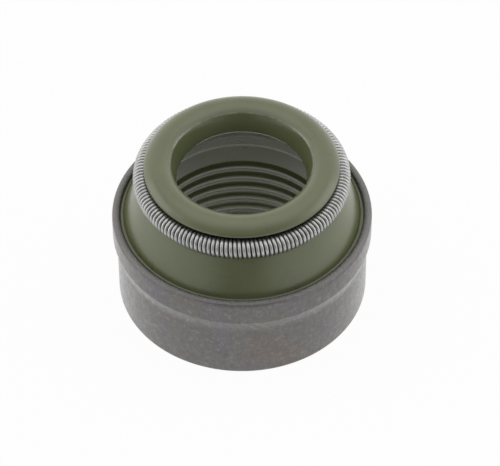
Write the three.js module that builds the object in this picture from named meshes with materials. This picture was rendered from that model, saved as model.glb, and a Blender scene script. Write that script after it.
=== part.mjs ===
// Valve stem seal: a drawn steel case, the elastomer body bonded inside it, and the garter spring
// that presses the body's lip on the valve stem. Millimetres, +Z up, the axis on Z, the case's
// lower edge at z = 0. Radii grow outwards from the stem and from the guide, heights from the foot.

import * as THREE from "three";
import { ParametricGeometry } from "three/addons/geometries/ParametricGeometry.js";

// Facets round the axis of a turned piece, and steps along one rounded corner
const FACETS = 44;
const CORNER_STEPS = 3;

// Grip on the valve guide: rings inside the lower half of the elastomer body
const RING_RADIUS = 5.2; // crest of each ring, on an 11 mm guide
const RING_DEPTH = 0.14;
const RING_PITCH = 0.873;
const RING_COUNT = 5;
const RING_STEPS = 4; // points along one ring
const LINING = 1.5; // elastomer behind the rings' valleys
const FOOT_RECESS = 0.08; // the elastomer ends this far above the case's edge
const FOOT_RING_HEIGHT = 0.35; // the foot ends in half a ring, which holds the guide's end
const FOOT_RING_RADIUS = 5.14;
const FOOT_RING_ROUND = 0.12;

// Chamber between the rings and the lip
const CHAMBER_HEIGHT = 1.18;
const CHAMBER_RELIEF = 0.15;
const CHAMBER_ROUND = 0.45;

// Lip and bore for an 8 mm valve stem
const LIP_RADIUS = 3.75; // free radius, smaller than the stem
const LIP_ROUND = 0.2;
const BORE_FLARE = 0.32;
const BORE_DEPTH = 1.22;

// Steel case
const WALL = 0.5;
const BOND = 0.02; // film between the steel and the elastomer
const CASE_HEIGHT = 6.15;
const BAND_HEIGHT = 1.55; // the wider upper part
const BAND_STEP = 0.24;
const SHOULDER_HEIGHT = 0.75;
const SHOULDER_BEND = 2;
const BAND_BEND = 0.4;
const EDGE_ROUND = 0.27; // outer corner of the lower edge
const RIM_ROUND = 0.3; // outer corner of the upper rim

// Cone of the elastomer above the case
const RIM_RECESS = 0.26; // the elastomer's foot lies this far below the rim
const FOOT_STEP = 0.18;
const FOOT_ROUND = 0.12;
const CONE_HEIGHT = 2.46;
const LEDGE_HEIGHT = 0.048; // from the cone's top up to the spring's groove
const LEDGE_WIDTH = 0.045;
const CONE_ROUND = 0.06;

// Garter spring and its groove
const SPRING_RADIUS = 0.53; // outside of the coil's section
const WIRE_RADIUS = 0.1;
const TURN_GAP = 0.023; // between neighbouring turns on the ring's inside
const TURN_STEPS = 6.5; // the half makes the corners of neighbouring turns alternate
const WIRE_SIDES = 4;
const GROOVE_CLEARANCE = 0.1; // on average: the spring pulls itself inwards, and rests below
const GROOVE_SHIFT = 0.04; // from the coil's centre out to the groove's
const GROOVE_LIFT = 0.05;
const SPRING_PROUD = 0.21; // from the collar's wall out to the coil's centre
const GROOVE_START = THREE.MathUtils.degToRad(-82); // direction of its lower edge from its centre
const GROOVE_STEPS = 7;

// Collar above the groove: a dome on a short upright wall
const COLLAR_WALL = 1.58;
const COLLAR_LAND = 0.2; // height of the upright wall
const DOME_RADIUS = 1.01;
const DOME_INSET = 0.86; // from the wall in to the dome's centre
const DOME_STEPS = 6;

// Radii that follow, from the axis outwards
const valleyRadius = RING_RADIUS + RING_DEPTH;
const liningRadius = valleyRadius + LINING;
const caseBore = liningRadius + BOND;
const bandBore = caseBore + BAND_STEP;
const coneFootRadius = bandBore - BOND - FOOT_STEP;
const boreRadius = LIP_RADIUS + BORE_FLARE;
const collarRadius = boreRadius + COLLAR_WALL;
const springRingRadius = collarRadius + SPRING_PROUD;
const grooveRingRadius = springRingRadius + GROOVE_SHIFT;
const grooveRadius = SPRING_RADIUS + GROOVE_CLEARANCE;
const domeRingRadius = collarRadius - DOME_INSET;

// Heights that follow, from the foot upwards
const bandFoot = CASE_HEIGHT - BAND_HEIGHT;
const shoulderFoot = bandFoot - SHOULDER_HEIGHT;
const coneFoot = CASE_HEIGHT - RIM_RECESS;
const coneTop = coneFoot + CONE_HEIGHT;
const grooveHeight = coneTop + LEDGE_HEIGHT - grooveRadius * Math.sin(GROOVE_START);
const springHeight = grooveHeight - GROOVE_LIFT;
const grooveEnd = Math.acos((collarRadius - grooveRingRadius) / grooveRadius) - 2 * Math.PI;
const collarFoot = grooveHeight + grooveRadius * Math.sin(grooveEnd);
const domeStart = Math.acos(DOME_INSET / DOME_RADIUS);
const domeEnd = Math.acos((boreRadius - domeRingRadius) / DOME_RADIUS);
const domeHeight = collarFoot + COLLAR_LAND - DOME_RADIUS * Math.sin(domeStart);
const lipHeight = domeHeight + DOME_RADIUS * Math.sin(domeEnd) - BORE_DEPTH;
const ringsFoot = FOOT_RECESS + FOOT_RING_HEIGHT;
const ringsTop = ringsFoot + RING_COUNT * RING_PITCH;
const chamberTop = ringsTop + CHAMBER_HEIGHT;

// A sheet of constant thickness bends at another height inside than outside: this is the rise.
const shoulderTilt = Math.atan2(BAND_STEP, SHOULDER_HEIGHT);
const innerBendRise = WALL * Math.tan(shoulderTilt / 2);

// The points of the arc that rounds a corner between two straight sides. Two rounded corners share
// the side between them in proportion, so an arc never reaches past the room that it has.
function roundedCorner(before, corner, after) {
  const into = before.point.clone().sub(corner.point);
  const out = after.point.clone().sub(corner.point);
  const room = Math.min(
    (into.length() * corner.rounding) / (corner.rounding + before.rounding),
    (out.length() * corner.rounding) / (corner.rounding + after.rounding),
  );
  into.normalize();
  out.normalize();
  const halfAngle = Math.acos(into.dot(out)) / 2;
  const reach = Math.min(corner.rounding / Math.tan(halfAngle), room);
  const toCentre = into.clone().add(out).setLength(reach / Math.cos(halfAngle));
  const centre = corner.point.clone().add(toCentre);
  const start = corner.point.clone().addScaledVector(into, reach);
  const end = corner.point.clone().addScaledVector(out, reach);
  const turn = Math.sign(out.cross(into)) * (Math.PI - 2 * halfAngle);
  const points = [start];
  for (let step = 1; step < CORNER_STEPS; step += 1) {
    points.push(start.clone().rotateAround(centre, (turn * step) / CORNER_STEPS));
  }
  return [...points, end];
}

// A closed section from corners [radius, height, rounding], listed anticlockwise with the radius
// to the right and the height up.
function section(list) {
  const corners = list.map(([radius, height, rounding = 0]) => ({
    point: new THREE.Vector2(radius, height),
    rounding,
  }));
  const points = corners.flatMap((corner, index) =>
    corner.rounding > 0
      ? roundedCorner(corners.at(index - 1), corner, corners[(index + 1) % corners.length])
      : [corner.point],
  );
  return [...points, points[0].clone()];
}

// Turns a closed section about the Z axis.
function turned(points) {
  return new THREE.LatheGeometry(points, FACETS).rotateX(Math.PI / 2);
}

// Points along a circle of the section, from one direction to another
function arcCorners(centreRadius, centreHeight, radius, from, to, steps) {
  return Array.from({ length: steps + 1 }, (_, step) => {
    const angle = THREE.MathUtils.lerp(from, to, step / steps);
    return [centreRadius + radius * Math.cos(angle), centreHeight + radius * Math.sin(angle)];
  });
}

// The spring's groove, from its lower edge round the inside to the collar's wall
function grooveCorners() {
  return arcCorners(
    grooveRingRadius,
    grooveHeight,
    grooveRadius,
    GROOVE_START,
    grooveEnd,
    GROOVE_STEPS,
  );
}

// The collar's dome, from its wall over the top to the bore
function domeCorners() {
  return arcCorners(domeRingRadius, domeHeight, DOME_RADIUS, domeStart, domeEnd, DOME_STEPS);
}

// The grip's rings, from the chamber down to the foot, as one even wave
function ringCorners() {
  return Array.from({ length: RING_COUNT * RING_STEPS + 1 }, (_, step) => {
    const wave = (1 - Math.cos((2 * Math.PI * step) / RING_STEPS)) / 2;
    return [valleyRadius - RING_DEPTH * wave, ringsTop - (step / RING_STEPS) * RING_PITCH];
  });
}

function steelCase() {
  return turned(
    section([
      [caseBore, 0],
      [caseBore + WALL, 0, EDGE_ROUND],
      [caseBore + WALL, shoulderFoot, SHOULDER_BEND],
      [bandBore + WALL, bandFoot, BAND_BEND],
      [bandBore + WALL, CASE_HEIGHT, RIM_ROUND],
      [bandBore, CASE_HEIGHT],
      [bandBore, bandFoot + innerBendRise],
      [caseBore, shoulderFoot + innerBendRise],
    ]),
  );
}

function sealBody() {
  return turned(
    section([
      [FOOT_RING_RADIUS, FOOT_RECESS, FOOT_RING_ROUND],
      [liningRadius, FOOT_RECESS],
      [liningRadius, shoulderFoot + innerBendRise],
      [bandBore - BOND, bandFoot + innerBendRise],
      [bandBore - BOND, coneFoot],
      [coneFootRadius, coneFoot, FOOT_ROUND],
      [
        grooveRingRadius + grooveRadius * Math.cos(GROOVE_START) + LEDGE_WIDTH,
        coneTop,
        CONE_ROUND,
      ],
      ...grooveCorners(),
      ...domeCorners(),
      [LIP_RADIUS, lipHeight, LIP_ROUND],
      [valleyRadius + CHAMBER_RELIEF, chamberTop, CHAMBER_ROUND],
      ...ringCorners(),
    ]),
  );
}

// A close-wound coil bent into a ring. along runs round the ring and around runs round the wire.
function garterSpring() {
  const axis = new THREE.Vector3(0, 0, 1);
  const coilRadius = SPRING_RADIUS - WIRE_RADIUS;
  const innerLength = 2 * Math.PI * (springRingRadius - SPRING_RADIUS);
  const turns = Math.floor(innerLength / (2 * WIRE_RADIUS + TURN_GAP));
  const surface = (along, around, target) => {
    const azimuth = 2 * Math.PI * along;
    const coil = azimuth * turns;
    const wire = 2 * Math.PI * around;
    const fromCoil = coilRadius + WIRE_RADIUS * Math.cos(wire);
    target.set(
      springRingRadius + fromCoil * Math.cos(coil),
      -WIRE_RADIUS * Math.sin(wire),
      springHeight + fromCoil * Math.sin(coil),
    );
    target.applyAxisAngle(axis, azimuth);
  };
  return new ParametricGeometry(surface, Math.round(turns * TURN_STEPS), WIRE_SIDES);
}

const steel = new THREE.MeshStandardMaterial({ color: 0x7d7b79, roughness: 0.5, metalness: 0.8 });
const elastomer = new THREE.MeshStandardMaterial({ color: 0x5c5f48, roughness: 0.5 });
const springWire = new THREE.MeshStandardMaterial({
  color: 0xa9aaa8,
  roughness: 0.3,
  metalness: 1,
});

const pieces = [
  ["steel_case", steelCase(), steel],
  ["seal_body", sealBody(), elastomer],
  ["garter_spring", garterSpring(), springWire],
];

const seal = new THREE.Group();
for (const [name, geometry, material] of pieces) {
  const mesh = new THREE.Mesh(geometry, material);
  mesh.name = name;
  seal.add(mesh);
}

export default seal;
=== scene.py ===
"""Valve stem seal: a stepped steel case, an olive elastomer body and a close-wound garter spring.

The three solids of the frame are replaced by finer meshes of the same sections, with procedural
materials. The seal is written in millimetres and turned into metres by MM. The studio round it, with
its floor, card, lamps and camera, is written in metres.
"""

import math

import bpy
from mathutils import Matrix, Vector


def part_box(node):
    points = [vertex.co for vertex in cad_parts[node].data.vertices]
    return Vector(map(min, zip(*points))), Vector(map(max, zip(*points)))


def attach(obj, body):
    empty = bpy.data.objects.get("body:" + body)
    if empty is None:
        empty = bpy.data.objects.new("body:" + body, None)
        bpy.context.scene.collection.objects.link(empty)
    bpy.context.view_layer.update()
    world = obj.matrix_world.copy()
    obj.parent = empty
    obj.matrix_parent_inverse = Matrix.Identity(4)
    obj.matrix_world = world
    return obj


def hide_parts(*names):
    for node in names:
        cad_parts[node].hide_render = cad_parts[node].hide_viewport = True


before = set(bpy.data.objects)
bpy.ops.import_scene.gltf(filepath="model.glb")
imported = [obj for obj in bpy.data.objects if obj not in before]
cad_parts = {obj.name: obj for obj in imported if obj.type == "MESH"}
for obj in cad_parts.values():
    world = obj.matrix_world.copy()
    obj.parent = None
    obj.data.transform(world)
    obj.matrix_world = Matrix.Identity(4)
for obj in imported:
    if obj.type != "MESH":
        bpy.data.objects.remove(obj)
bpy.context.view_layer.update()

MM = 0.001

# Fineness of the meshes
FACETS = 320
CORNER_STEPS = 9
SHARP_ANGLE = math.radians(38)  # an edge that turns further is drawn sharp

# Main sizes, from the frame
case_low, case_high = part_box("steel_case")
body_low, body_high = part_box("seal_body")
spring_low, spring_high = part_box("garter_spring")
BAND_RADIUS = case_high.x / MM
CASE_HEIGHT = case_high.z / MM
COLLAR_TOP = body_high.z / MM
BODY_FOOT = body_low.z / MM
SPRING_REACH = spring_high.x / MM

# Steel case
WALL = 0.5
BOND = 0.004
BAND_HEIGHT = 1.55
BAND_STEP = 0.24
SHOULDER_HEIGHT = 0.75
SHOULDER_BEND = 2.0
BAND_BEND = 0.4
EDGE_ROUND = 0.27  # outer corner of the lower edge
EDGE_BREAK = 0.06  # its inner corner
RIM_ROUND = 0.3  # outer corner of the upper rim
RIM_BREAK = 0.18  # its inner corner

# Grip on the valve guide and chamber above it
RING_RADIUS = 5.2
RING_DEPTH = 0.14
RING_PITCH = 0.873
RING_COUNT = 5
RING_STEPS = 18
FOOT_RING_HEIGHT = 0.35
FOOT_RING_RADIUS = 5.14
FOOT_RING_ROUND = 0.12
CHAMBER_HEIGHT = 1.18
CHAMBER_RELIEF = 0.15
CHAMBER_ROUND = 0.45

# Lip, bore and collar
LIP_RADIUS = 3.75
LIP_ROUND = 0.2
BORE_FLARE = 0.32
BORE_DEPTH = 1.22
COLLAR_WALL = 1.58
COLLAR_LAND = 0.117
DOME_RADIUS = 1.01
DOME_INSET = 0.86
DOME_STEPS = 30

# Cone
RIM_RECESS = 0.26
FOOT_STEP = 0.18
FOOT_ROUND = 0.12
CONE_HEIGHT = 2.46
LEDGE_WIDTH = 0.095
CONE_ROUND = 0.06

# Garter spring and its groove
SPRING_RADIUS = 0.57
SPRING_SLACK = 0.089  # from the coil's outside to the solid's
SPRING_SAG = 0.077  # from the coil's centre up to the solid's
WIRE_RADIUS = 0.104
TURN_GAP = 0.008
TURN_STEPS = 18
WIRE_SIDES = 10
GROOVE_CLEARANCE = 0.052
GROOVE_SHIFT = 0.028  # from the coil's centre out to the groove's
GROOVE_LIFT = 0.035  # and up to it
GROOVE_START = math.radians(-76)  # direction of its lower edge from its centre
GROOVE_END = math.radians(-228)  # where the collar's slanted underside starts
GROOVE_STEPS = 26

# Radii and heights that follow
band_bore = BAND_RADIUS - WALL
case_bore = band_bore - BAND_STEP
band_foot = CASE_HEIGHT - BAND_HEIGHT
shoulder_foot = band_foot - SHOULDER_HEIGHT
inner_bend_rise = WALL * math.tan(math.atan2(BAND_STEP, SHOULDER_HEIGHT) / 2)

valley_radius = RING_RADIUS + RING_DEPTH
rings_top = BODY_FOOT + FOOT_RING_HEIGHT + RING_COUNT * RING_PITCH
chamber_top = rings_top + CHAMBER_HEIGHT
bore_radius = LIP_RADIUS + BORE_FLARE
collar_radius = bore_radius + COLLAR_WALL
dome_ring = collar_radius - DOME_INSET
dome_height = COLLAR_TOP - DOME_RADIUS
dome_start = math.acos(DOME_INSET / DOME_RADIUS)
dome_end = math.acos((bore_radius - dome_ring) / DOME_RADIUS)
collar_foot = dome_height + DOME_RADIUS * math.sin(dome_start) - COLLAR_LAND
lip_height = dome_height + DOME_RADIUS * math.sin(dome_end) - BORE_DEPTH
cone_foot = CASE_HEIGHT - RIM_RECESS
spring_ring = SPRING_REACH - SPRING_SLACK - SPRING_RADIUS
spring_height = (spring_low.z + spring_high.z) / 2 / MM - SPRING_SAG
groove_ring = spring_ring + GROOVE_SHIFT
groove_height = spring_height + GROOVE_LIFT
groove_radius = SPRING_RADIUS + GROOVE_CLEARANCE


def rounded_corner(before, corner, after):
    """The arc that rounds a corner between two straight sides, held to the room they give it."""
    point, rounding = corner
    into, out = before[0] - point, after[0] - point
    room = min(
        into.length * rounding / (rounding + before[1]),
        out.length * rounding / (rounding + after[1]),
    )
    into.normalize()
    out.normalize()
    half = math.acos(into.dot(out)) / 2
    reach = min(rounding / math.tan(half), room)
    centre = point + (into + out).normalized() * reach / math.cos(half)
    start = point + into * reach - centre
    turn = math.copysign(math.pi - 2 * half, out.x * into.y - out.y * into.x)
    return [
        centre + Matrix.Rotation(turn * step / CORNER_STEPS, 2) @ start
        for step in range(CORNER_STEPS + 1)
    ]


def section(corners):
    """A closed section from corners (radius, height, rounding), anticlockwise, in millimetres."""
    listed = [(Vector(corner[:2]), corner[2] if len(corner) > 2 else 0.0) for corner in corners]
    points = []
    for index, corner in enumerate(listed):
        after = listed[(index + 1) % len(listed)]
        points += rounded_corner(listed[index - 1], corner, after) if corner[1] else [corner[0]]
    return points


def grid_faces(rows, columns):
    """Quads of a grid that closes on itself both ways; vertex = row * columns + column."""
    return [
        (
            row * columns + column,
            (row + 1) % rows * columns + column,
            (row + 1) % rows * columns + (column + 1) % columns,
            row * columns + (column + 1) % columns,
        )
        for row in range(rows)
        for column in range(columns)
    ]


def make_piece(name, points, faces, node, material):
    """One closed mesh, in metres, that stands for a node of the frame and rides on the body."""
    mesh = bpy.data.meshes.new(name)
    mesh.from_pydata([Vector(point) * MM for point in points], [], faces)
    mesh.shade_smooth()
    mesh.set_sharp_from_angle(angle=SHARP_ANGLE)
    mesh.materials.append(material)
    piece = bpy.data.objects.new(name, mesh)
    bpy.context.scene.collection.objects.link(piece)
    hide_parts(node)
    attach(piece, "root")
    return piece


def turned_piece(name, corners, node, material):
    """A section turned about the Z axis."""
    outline = section(corners)
    points = []
    for facet in range(FACETS):
        azimuth = 2 * math.pi * facet / FACETS
        points += [
            (radius * math.cos(azimuth), radius * math.sin(azimuth), height)
            for radius, height in outline
        ]
    return make_piece(name, points, grid_faces(FACETS, len(outline)), node, material)


def arc_corners(centre, radius, start, end, steps):
    """Points along a circle of the section, from one direction to another."""
    corners = []
    for step in range(steps + 1):
        angle = start + (end - start) * step / steps
        corners.append((centre[0] + radius * math.cos(angle), centre[1] + radius * math.sin(angle)))
    return corners


def ring_corners():
    """The grip's rings, from the chamber down to the foot, as one even wave."""
    corners = []
    for step in range(RING_COUNT * RING_STEPS + 1):
        wave = (1 - math.cos(2 * math.pi * step / RING_STEPS)) / 2
        corners.append(
            (valley_radius - RING_DEPTH * wave, rings_top - step / RING_STEPS * RING_PITCH)
        )
    return corners


def build_case(material):
    """The drawn steel sleeve with its shoulder and its wider band."""
    corners = [
        (case_bore, 0, EDGE_BREAK),
        (case_bore + WALL, 0, EDGE_ROUND),
        (case_bore + WALL, shoulder_foot, SHOULDER_BEND),
        (BAND_RADIUS, band_foot, BAND_BEND),
        (BAND_RADIUS, CASE_HEIGHT, RIM_ROUND),
        (band_bore, CASE_HEIGHT, RIM_BREAK),
        (band_bore, band_foot + inner_bend_rise),
        (case_bore, shoulder_foot + inner_bend_rise),
    ]
    return turned_piece("case", corners, "steel_case", material)


def build_body(material):
    """The elastomer: lining, cone, groove, collar, bore, lip, chamber and rings."""
    corners = [
        (FOOT_RING_RADIUS, BODY_FOOT, FOOT_RING_ROUND),
        (case_bore - BOND, BODY_FOOT),
        (case_bore - BOND, shoulder_foot + inner_bend_rise),
        (band_bore - BOND, band_foot + inner_bend_rise),
        (band_bore - BOND, cone_foot),
        (band_bore - FOOT_STEP, cone_foot, FOOT_ROUND),
        (
            groove_ring + groove_radius * math.cos(GROOVE_START) + LEDGE_WIDTH,
            cone_foot + CONE_HEIGHT,
            CONE_ROUND,
        ),
        *arc_corners(
            (groove_ring, groove_height), groove_radius, GROOVE_START, GROOVE_END, GROOVE_STEPS
        ),
        (collar_radius, collar_foot),
        *arc_corners((dome_ring, dome_height), DOME_RADIUS, dome_start, dome_end, DOME_STEPS),
        (LIP_RADIUS, lip_height, LIP_ROUND),
        (valley_radius + CHAMBER_RELIEF, chamber_top, CHAMBER_ROUND),
        *ring_corners(),
    ]
    return turned_piece("body", corners, "seal_body", material)


def build_spring(material):
    """A close-wound coil bent into a ring."""
    coil_radius = SPRING_RADIUS - WIRE_RADIUS
    inner_length = 2 * math.pi * (spring_ring - SPRING_RADIUS)
    turns = int(inner_length / (2 * WIRE_RADIUS + TURN_GAP))
    steps = turns * TURN_STEPS
    points = []
    for step in range(steps):
        azimuth = 2 * math.pi * step / steps
        coil = -2 * math.pi * step / TURN_STEPS
        outwards = Vector((math.cos(azimuth), math.sin(azimuth), 0))
        along = Vector((-math.sin(azimuth), math.cos(azimuth), 0))
        from_coil = outwards * math.cos(coil) + Vector((0, 0, math.sin(coil)))
        centre = outwards * spring_ring + Vector((0, 0, spring_height)) + from_coil * coil_radius
        for side in range(WIRE_SIDES):
            wire = 2 * math.pi * side / WIRE_SIDES
            offset = from_coil * math.cos(wire) - along * math.sin(wire)
            points.append(centre + offset * WIRE_RADIUS)
    faces = grid_faces(steps, WIRE_SIDES)
    return make_piece("spring", points, faces, "garter_spring", material)


def mapped(tree, value, reach, to):
    """value, from one end of reach to the other, spread over to and held there."""
    node = tree.nodes.new("ShaderNodeMapRange")
    for socket, number in zip(("From Min", "From Max", "To Min", "To Max"), (*reach, *to)):
        if isinstance(number, bpy.types.NodeSocket):
            tree.links.new(number, node.inputs[socket])
        else:
            node.inputs[socket].default_value = number
    tree.links.new(value, node.inputs["Value"])
    return node.outputs["Result"]


class Surface:
    """A procedural material round one Principled shader, with textures in object space."""

    def __init__(self, name, **values):
        self.material = bpy.data.materials.new(name)
        self.material.use_nodes = True
        self.nodes = self.material.node_tree.nodes
        self.links = self.material.node_tree.links
        self.shader = self.nodes["Principled BSDF"]
        for socket, value in values.items():
            self.shader.inputs[socket.replace("_", " ")].default_value = value
        self.place = self.nodes.new("ShaderNodeTexCoord").outputs["Object"]

    def from_axis(self):
        """Distance from the seal's axis, in millimetres."""
        return self.length_of(self.stretched((1 / MM, 1 / MM, 0)))

    def from_floor(self):
        """Height above the case's lower edge, in millimetres."""
        return self.length_of(self.stretched((0, 0, 1 / MM)))

    def length_of(self, vector):
        """The length of a vector socket."""
        node = self.nodes.new("ShaderNodeVectorMath")
        node.operation = "LENGTH"
        self.links.new(vector, node.inputs[0])
        return node.outputs["Value"]

    def both(self, first, second):
        """The product of two masks."""
        node = self.nodes.new("ShaderNodeMath")
        node.operation = "MULTIPLY"
        self.links.new(first, node.inputs[0])
        self.links.new(second, node.inputs[1])
        return node.outputs[0]

    def stretched(self, scale):
        """Object space scaled by three numbers, for streaks."""
        mapping = self.nodes.new("ShaderNodeMapping")
        mapping.inputs["Scale"].default_value = scale
        self.links.new(self.place, mapping.inputs["Vector"])
        return mapping.outputs["Vector"]

    def noise(self, size, detail=3.0, roughness=0.5, place=None):
        """Noise whose blotches are about size millimetres wide."""
        node = self.nodes.new("ShaderNodeTexNoise")
        node.inputs["Scale"].default_value = 1 / (size * MM)
        node.inputs["Detail"].default_value = detail
        node.inputs["Roughness"].default_value = roughness
        self.links.new(place or self.place, node.inputs["Vector"])
        return node.outputs["Fac"]

    def spread(self, value, low, high, to_low=0.0, to_high=1.0):
        """A mask: value between low and high spread over to_low and to_high."""
        return mapped(self.material.node_tree, value, (low, high), (to_low, to_high))

    def blend(self, factor, first, second):
        """Two colours, or a colour socket and a colour, mixed by a factor."""
        node = self.nodes.new("ShaderNodeMix")
        node.data_type = "RGBA"
        sockets = {socket.name: socket for socket in node.inputs if socket.enabled}
        self.links.new(factor, sockets["Factor"])
        for name, colour in (("A", first), ("B", second)):
            if isinstance(colour, tuple):
                sockets[name].default_value = (*colour, 1.0)
            else:
                self.links.new(colour, sockets[name])
        return next(socket for socket in node.outputs if socket.enabled)

    def bump(self, height, depth, under=None):
        """Relief of about depth millimetres."""
        node = self.nodes.new("ShaderNodeBump")
        node.inputs["Distance"].default_value = depth * MM
        self.links.new(height, node.inputs["Height"])
        if under:
            self.links.new(under, node.inputs["Normal"])
        return node.outputs["Normal"]

    def feed(self, socket, value):
        """Links a texture to the shader."""
        self.links.new(value, self.shader.inputs[socket])


# Colours, linear
STEEL_GREY = (0.135, 0.131, 0.128)
STEEL_BROWN = (0.142, 0.124, 0.111)
STEEL_VIOLET = (0.13, 0.12, 0.14)
STEEL_DARK = (0.08, 0.077, 0.075)
STEEL_PALE = (0.22, 0.22, 0.22)
STEEL_STREAK = (0.07, 0.068, 0.066)
STEEL_SPECK = (0.3, 0.3, 0.3)
# painted light: a paler grey for the rim, against the dark reflection on its rounded corner
RIM_PAINTED_LIGHT = (0.21, 0.206, 0.2)
# the trimmed edge's own dark tone, which also stands for painted shade of the gap by the rubber
TRIM_DARK_AND_SHADE = (0.06, 0.06, 0.053)
TRIM_PALE = (0.21, 0.206, 0.193)
OLIVE_DARK = (0.138, 0.156, 0.076)
OLIVE_PALE = (0.157, 0.175, 0.088)
OLIVE_DUST = (0.3, 0.31, 0.25)
# painted light: a paler olive for the collar's inner slope by the bore
BORE_PAINTED_LIGHT = (0.2, 0.215, 0.13)
# painted highlight: a pale colour for a thin broken line along the bore's edge
BORE_PAINTED_HIGHLIGHT = (0.33, 0.35, 0.25)
WIRE_DULL = (0.34, 0.34, 0.335)
WIRE_BRIGHT = (0.42, 0.42, 0.41)

# The trimmed rim of the case: how far down it starts and how soon it is full; it is painted lighter
# there, as painted light against the dark reflection on its rounded corner. The darker part inside
# the rounded corner, the trimmed edge's own tone together with painted shade of the gap by the
# rubber, is full up to one distance from the band's bore and ends at another
RIM_ZONE = 0.2
RIM_FADE = 0.14
TRIM_SHADE_END = 0.3
TRIM_SHADE_FULL = 0.12
RIM_ROUGHNESS = 0.55

# The collar's edge at the bore: a pale band of painted light with a thin broken painted highlight
# on its inside, both measured outwards from the bore and found above a height over the lip
BORE_START = (-0.02, 0.01)
BORE_PAINTED_LIGHT_END = (0.5, 0.25)
BORE_PAINTED_HIGHLIGHT_END = (0.07, 0.03)
BORE_EDGE_HEIGHT = (1.0, 1.1)
BORE_ROUGHNESS = 0.17
BORE_SMOOTH = 0.3  # from the bore out to where the moulded skin is full


def steel_surface():
    """Dull drawn steel, mottled, with a faint brown and violet bloom; rough trimmed rim with painted
    light and shade.
    """
    steel = Surface("drawn_steel", Metallic=1.0)
    streaks = steel.noise(0.16, 4.0, 0.6, steel.stretched((1, 1, 0.35)))
    bloom = steel.noise(2.6, 2.0)
    violet = steel.noise(1.7, 2.0, place=steel.stretched((1.0, 1.0, 0.5)))
    mottle = steel.noise(0.3, 5.0, 0.75)
    grain = steel.noise(0.1, 3.0, 0.7)
    rim_start = CASE_HEIGHT - RIM_ZONE
    rim = steel.spread(steel.from_floor(), rim_start, rim_start + RIM_FADE)
    trim_shade = steel.spread(steel.from_axis(), band_bore + TRIM_SHADE_END, band_bore + TRIM_SHADE_FULL)
    colour = steel.blend(steel.spread(bloom, 0.45, 0.7), STEEL_GREY, STEEL_BROWN)
    colour = steel.blend(steel.spread(violet, 0.5, 0.75, 0, 0.8), colour, STEEL_VIOLET)
    colour = steel.blend(steel.spread(mottle, 0.35, 0.65, 0.55, 0), colour, STEEL_DARK)
    colour = steel.blend(steel.spread(mottle, 0.55, 0.8, 0, 0.5), colour, STEEL_PALE)
    colour = steel.blend(steel.spread(streaks, 0.3, 0.6, 0.3, 0), colour, STEEL_STREAK)
    colour = steel.blend(steel.spread(grain, 0.62, 0.8, 0, 0.6), colour, STEEL_SPECK)
    # painted light: the rim is taken half way to a paler grey, to lift the dark reflection on its
    # corner
    colour = steel.blend(steel.spread(rim, 0, 1, 0, 0.5), colour, RIM_PAINTED_LIGHT)
    # the inner rim: the trimmed edge's dark and pale grain, with painted shade of the gap by the
    # rubber
    trimmed = steel.blend(grain, TRIM_DARK_AND_SHADE, TRIM_PALE)
    steel.feed("Base Color", steel.blend(steel.both(rim, trim_shade), colour, trimmed))
    dull = steel.spread(mottle, 0.3, 0.7, 0.38, 0.25)
    steel.feed("Roughness", steel.spread(rim, 0, 1, dull, RIM_ROUGHNESS))
    relief = steel.bump(streaks, 0.004)
    relief = steel.bump(mottle, 0.012, relief)
    steel.feed("Normal", steel.bump(steel.both(grain, rim), 0.06, relief))
    return steel.material


def elastomer_surface():
    """Olive moulded elastomer: half matt outside, smooth in the bore, pale painted light at its
    edge.
    """
    rubber = Surface("olive_elastomer", IOR=1.52)
    clouds = rubber.noise(2.2, 3.0)
    skin = rubber.noise(0.07, 2.0, 0.6)
    dust = rubber.noise(0.12, 1.0)
    ragged = rubber.noise(0.35, 3.0, 0.7)
    radius = rubber.from_axis()
    height = rubber.from_floor()

    def past_bore(reach):
        return rubber.spread(radius, *(bore_radius + distance for distance in reach))

    edge = rubber.spread(height, *(lip_height + distance for distance in BORE_EDGE_HEIGHT))
    edge = rubber.both(past_bore(BORE_START), edge)
    # painted light: a pale band on the collar's inner slope by the bore
    band = rubber.both(edge, rubber.spread(past_bore(BORE_PAINTED_LIGHT_END), 0, 1, 0, 0.45))
    # painted highlight: a thin broken pale line along the bore's edge
    line = rubber.both(edge, past_bore(BORE_PAINTED_HIGHLIGHT_END))
    line = rubber.both(line, rubber.spread(ragged, 0.42, 0.6, 0.1, 0.7))
    colour = rubber.blend(rubber.spread(clouds, 0.3, 0.7), OLIVE_DARK, OLIVE_PALE)
    colour = rubber.blend(rubber.spread(dust, 0.74, 0.82, 0, 0.35), colour, OLIVE_DUST)
    colour = rubber.blend(band, colour, BORE_PAINTED_LIGHT)
    rubber.feed("Base Color", rubber.blend(line, colour, BORE_PAINTED_HIGHLIGHT))
    moulded = rubber.spread(clouds, 0.3, 0.7, 0.26, 0.32)
    smooth_end = bore_radius + BORE_SMOOTH
    rubber.feed(
        "Roughness", rubber.spread(radius, bore_radius, smooth_end, BORE_ROUGHNESS, moulded)
    )
    rubber.feed("Normal", rubber.bump(skin, 0.002, rubber.bump(clouds, 0.02)))
    return rubber.material


def wire_surface():
    """Bright drawn spring wire with slightly duller patches."""
    wire = Surface("spring_wire", Metallic=1.0)
    patches = wire.noise(0.5, 3.0)
    marks = wire.noise(0.05, 2.0, 0.6)
    wire.feed("Base Color", wire.blend(wire.spread(patches, 0.35, 0.7), WIRE_DULL, WIRE_BRIGHT))
    wire.feed("Roughness", wire.spread(patches, 0.3, 0.7, 0.5, 0.4))
    wire.feed("Normal", wire.bump(marks, 0.001))
    return wire.material


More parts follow.
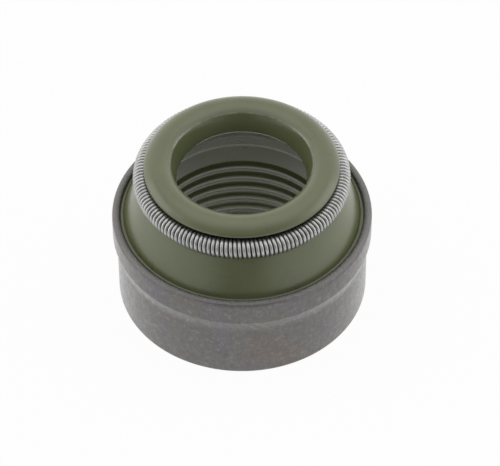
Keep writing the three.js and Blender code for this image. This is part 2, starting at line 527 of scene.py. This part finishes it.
def ray_switch(tree, kinds):
    """1 for the kinds of ray that are named, such as Is Camera Ray, and 0 for the others."""
    path = tree.nodes.new("ShaderNodeLightPath")
    total = None
    for kind in kinds:
        if total is None:
            total = path.outputs[kind]
            continue
        either = tree.nodes.new("ShaderNodeMath")
        either.operation = "MAXIMUM"
        tree.links.new(total, either.inputs[0])
        tree.links.new(path.outputs[kind], either.inputs[1])
        total = either.outputs[0]
    return total


# Floor and surroundings
FLOOR_SIZE = 0.8
FLOOR_ALBEDO = 0.9
FLOOR_GLOW = 0.965  # share of plain white in the floor as it is seen; the rest keeps the shadow
REFLECTED_WHITE = 1.35  # strength of the white that gloss and metal show
WORLD_DIFFUSE = 0.52  # strength of the white that lights the object
SEEN_RAYS = ("Is Camera Ray", "Is Glossy Ray", "Is Transmission Ray")
REFLECTED_RAYS = ("Is Glossy Ray", "Is Transmission Ray")

# The camera's side of the studio is dark
DARK_SIDE = (0.0, -0.87, 0.5)  # direction of its middle
DARK_LEVEL = 0.42  # share of the white that is left there
DARK_START = 0.5  # cosines of the angles from the middle where it starts and where it is full
DARK_FULL = 0.76


def build_floor():
    """A white table: seen directly or in a reflection it is white, and it keeps a soft shadow."""
    mesh = bpy.data.meshes.new("floor")
    half = FLOOR_SIZE / 2
    mesh.from_pydata(
        [(-half, -half, 0), (half, -half, 0), (half, half, 0), (-half, half, 0)], [], [(0, 1, 2, 3)]
    )
    floor = bpy.data.objects.new("floor", mesh)
    bpy.context.scene.collection.objects.link(floor)
    material = bpy.data.materials.new("white_table")
    material.use_nodes = True
    tree = material.node_tree
    tree.nodes.clear()
    matt = tree.nodes.new("ShaderNodeBsdfDiffuse")
    matt.inputs["Color"].default_value = (FLOOR_ALBEDO, FLOOR_ALBEDO, FLOOR_ALBEDO, 1)
    glow = tree.nodes.new("ShaderNodeEmission")
    tree.links.new(
        mapped(tree, ray_switch(tree, REFLECTED_RAYS), (0, 1), (1.0, REFLECTED_WHITE)),
        glow.inputs["Strength"],
    )
    mix = tree.nodes.new("ShaderNodeMixShader")
    share = tree.nodes.new("ShaderNodeMath")
    share.operation = "MULTIPLY"
    share.inputs[1].default_value = FLOOR_GLOW
    tree.links.new(ray_switch(tree, SEEN_RAYS), share.inputs[0])
    tree.links.new(share.outputs[0], mix.inputs["Fac"])
    tree.links.new(matt.outputs["BSDF"], mix.inputs[1])
    tree.links.new(glow.outputs["Emission"], mix.inputs[2])
    output = tree.nodes.new("ShaderNodeOutputMaterial")
    tree.links.new(mix.outputs["Shader"], output.inputs["Surface"])
    mesh.materials.append(material)


# A dark card on the camera's side, which the camera doesn't see
CARD_PLACE = -0.04  # along Y
CARD_WIDTH = 0.05
CARD_FADE = (0.009, 0.022)  # distances from its middle between which it fades out
CARD_HEIGHT = 0.028
CARD_ALBEDO = 0.16


def build_card():
    """The card that the front of the seal reflects; it fades out towards its sides."""
    mesh = bpy.data.meshes.new("dark_card")
    half = CARD_WIDTH / 2
    corners = [(-half, 0), (half, 0), (half, CARD_HEIGHT), (-half, CARD_HEIGHT)]
    mesh.from_pydata([(x, CARD_PLACE, z) for x, z in corners], [], [(0, 1, 2, 3)])
    card = bpy.data.objects.new("dark_card", mesh)
    bpy.context.scene.collection.objects.link(card)
    card.visible_camera = False
    material = bpy.data.materials.new("dark_card")
    material.use_nodes = True
    tree = material.node_tree
    tree.nodes.clear()
    matt = tree.nodes.new("ShaderNodeBsdfDiffuse")
    matt.inputs["Color"].default_value = (CARD_ALBEDO, CARD_ALBEDO, CARD_ALBEDO, 1)
    across = tree.nodes.new("ShaderNodeMapping")
    across.inputs["Scale"].default_value = (1, 0, 0)
    tree.links.new(
        tree.nodes.new("ShaderNodeTexCoord").outputs["Object"], across.inputs["Vector"]
    )
    from_middle = tree.nodes.new("ShaderNodeVectorMath")
    from_middle.operation = "LENGTH"
    tree.links.new(across.outputs["Vector"], from_middle.inputs[0])
    mix = tree.nodes.new("ShaderNodeMixShader")
    tree.links.new(mapped(tree, from_middle.outputs["Value"], CARD_FADE, (0, 1)), mix.inputs["Fac"])
    tree.links.new(matt.outputs["BSDF"], mix.inputs[1])
    tree.links.new(tree.nodes.new("ShaderNodeBsdfTransparent").outputs["BSDF"], mix.inputs[2])
    output = tree.nodes.new("ShaderNodeOutputMaterial")
    tree.links.new(mix.outputs["Shader"], output.inputs["Surface"])
    mesh.materials.append(material)


def build_world():
    """White surroundings as they are seen, dimmer as a light, and darker on the camera's side."""
    world = bpy.data.worlds.new("studio")
    bpy.context.scene.world = world
    world.use_nodes = True
    tree = world.node_tree
    towards = tree.nodes.new("ShaderNodeVectorMath")
    towards.operation = "DOT_PRODUCT"
    towards.inputs[1].default_value = Vector(DARK_SIDE).normalized()
    direction = tree.nodes.new("ShaderNodeTexCoord").outputs["Generated"]
    tree.links.new(direction, towards.inputs[0])
    side = mapped(tree, towards.outputs["Value"], (DARK_START, DARK_FULL), (1.0, DARK_LEVEL))
    reflected = mapped(tree, side, (0, 1), (0, REFLECTED_WHITE))
    level = mapped(
        tree,
        ray_switch(tree, REFLECTED_RAYS),
        (0, 1),
        (mapped(tree, side, (0, 1), (0, WORLD_DIFFUSE)), reflected),
    )
    level = mapped(tree, ray_switch(tree, ("Is Camera Ray",)), (0, 1), (level, 1.0))
    background = tree.nodes["Background"]
    tree.links.new(level, background.inputs["Strength"])
    background.inputs["Color"].default_value = (1, 1, 1, 1)


# Weak soft boxes above and at both sides: name, place, size and power
SOFT_LIGHTS = [
    ("overhead", (0.0, 0.0, 0.2), 0.25, 0.1),
    ("left_box", (-0.16, 0.02, 0.05), 0.12, 0.06),
    ("right_box", (0.16, 0.02, 0.05), 0.12, 0.06),
]
LIGHT_TARGET = (0, 0, 0.006)


def soft_light(name, place, size, power):
    """A square soft box that shines from place towards the seal."""
    lamp = bpy.data.lights.new(name, "AREA")
    lamp.size = size
    lamp.energy = power
    light = bpy.data.objects.new(name, lamp)
    light.location = place
    towards = Vector(LIGHT_TARGET) - Vector(place)
    light.rotation_euler = towards.to_track_quat("-Z", "Y").to_euler()
    bpy.context.scene.collection.objects.link(light)


# The photograph's camera: its place on a circle in front of the seal, and how far it turns from
# looking straight at the centre of the case's lower edge
CAMERA_DISTANCE = 0.18
CAMERA_ELEVATION = 47.652
CAMERA_TILT = 0.8893
CAMERA_PAN = 0.1496
CAMERA_ROLL = 0.4474
CAMERA_LENS = 216.33
CAMERA_NEAR = 0.01
SENSOR_WIDTH = 36.0


def build_camera():
    """The scene's camera, in front of the seal and above it."""
    elevation = math.radians(CAMERA_ELEVATION)
    place = Vector((0, -math.cos(elevation), math.sin(elevation))) * CAMERA_DISTANCE
    camera = bpy.data.objects.new("camera", bpy.data.cameras.new("camera"))
    camera.data.lens = CAMERA_LENS
    camera.data.sensor_fit = "HORIZONTAL"
    camera.data.sensor_width = SENSOR_WIDTH
    camera.data.clip_start = CAMERA_NEAR
    turn = (
        Matrix.Rotation(math.radians(CAMERA_ROLL), 3, "Z")
        @ Matrix.Rotation(math.radians(CAMERA_PAN), 3, "Y")
        @ Matrix.Rotation(-math.radians(CAMERA_TILT), 3, "X")
        @ Matrix.Rotation(math.radians(CAMERA_ELEVATION) - math.pi / 2, 3, "X")
    )
    camera.matrix_world = Matrix.Translation(place) @ turn.transposed().to_4x4()
    bpy.context.scene.collection.objects.link(camera)
    bpy.context.scene.camera = camera


build_camera()
build_case(steel_surface())
build_body(elastomer_surface())
build_spring(wire_surface())
build_floor()
build_world()
build_card()
for soft_box in SOFT_LIGHTS:
    soft_light(*soft_box)
bpy.context.scene.view_settings.view_transform = "Standard"
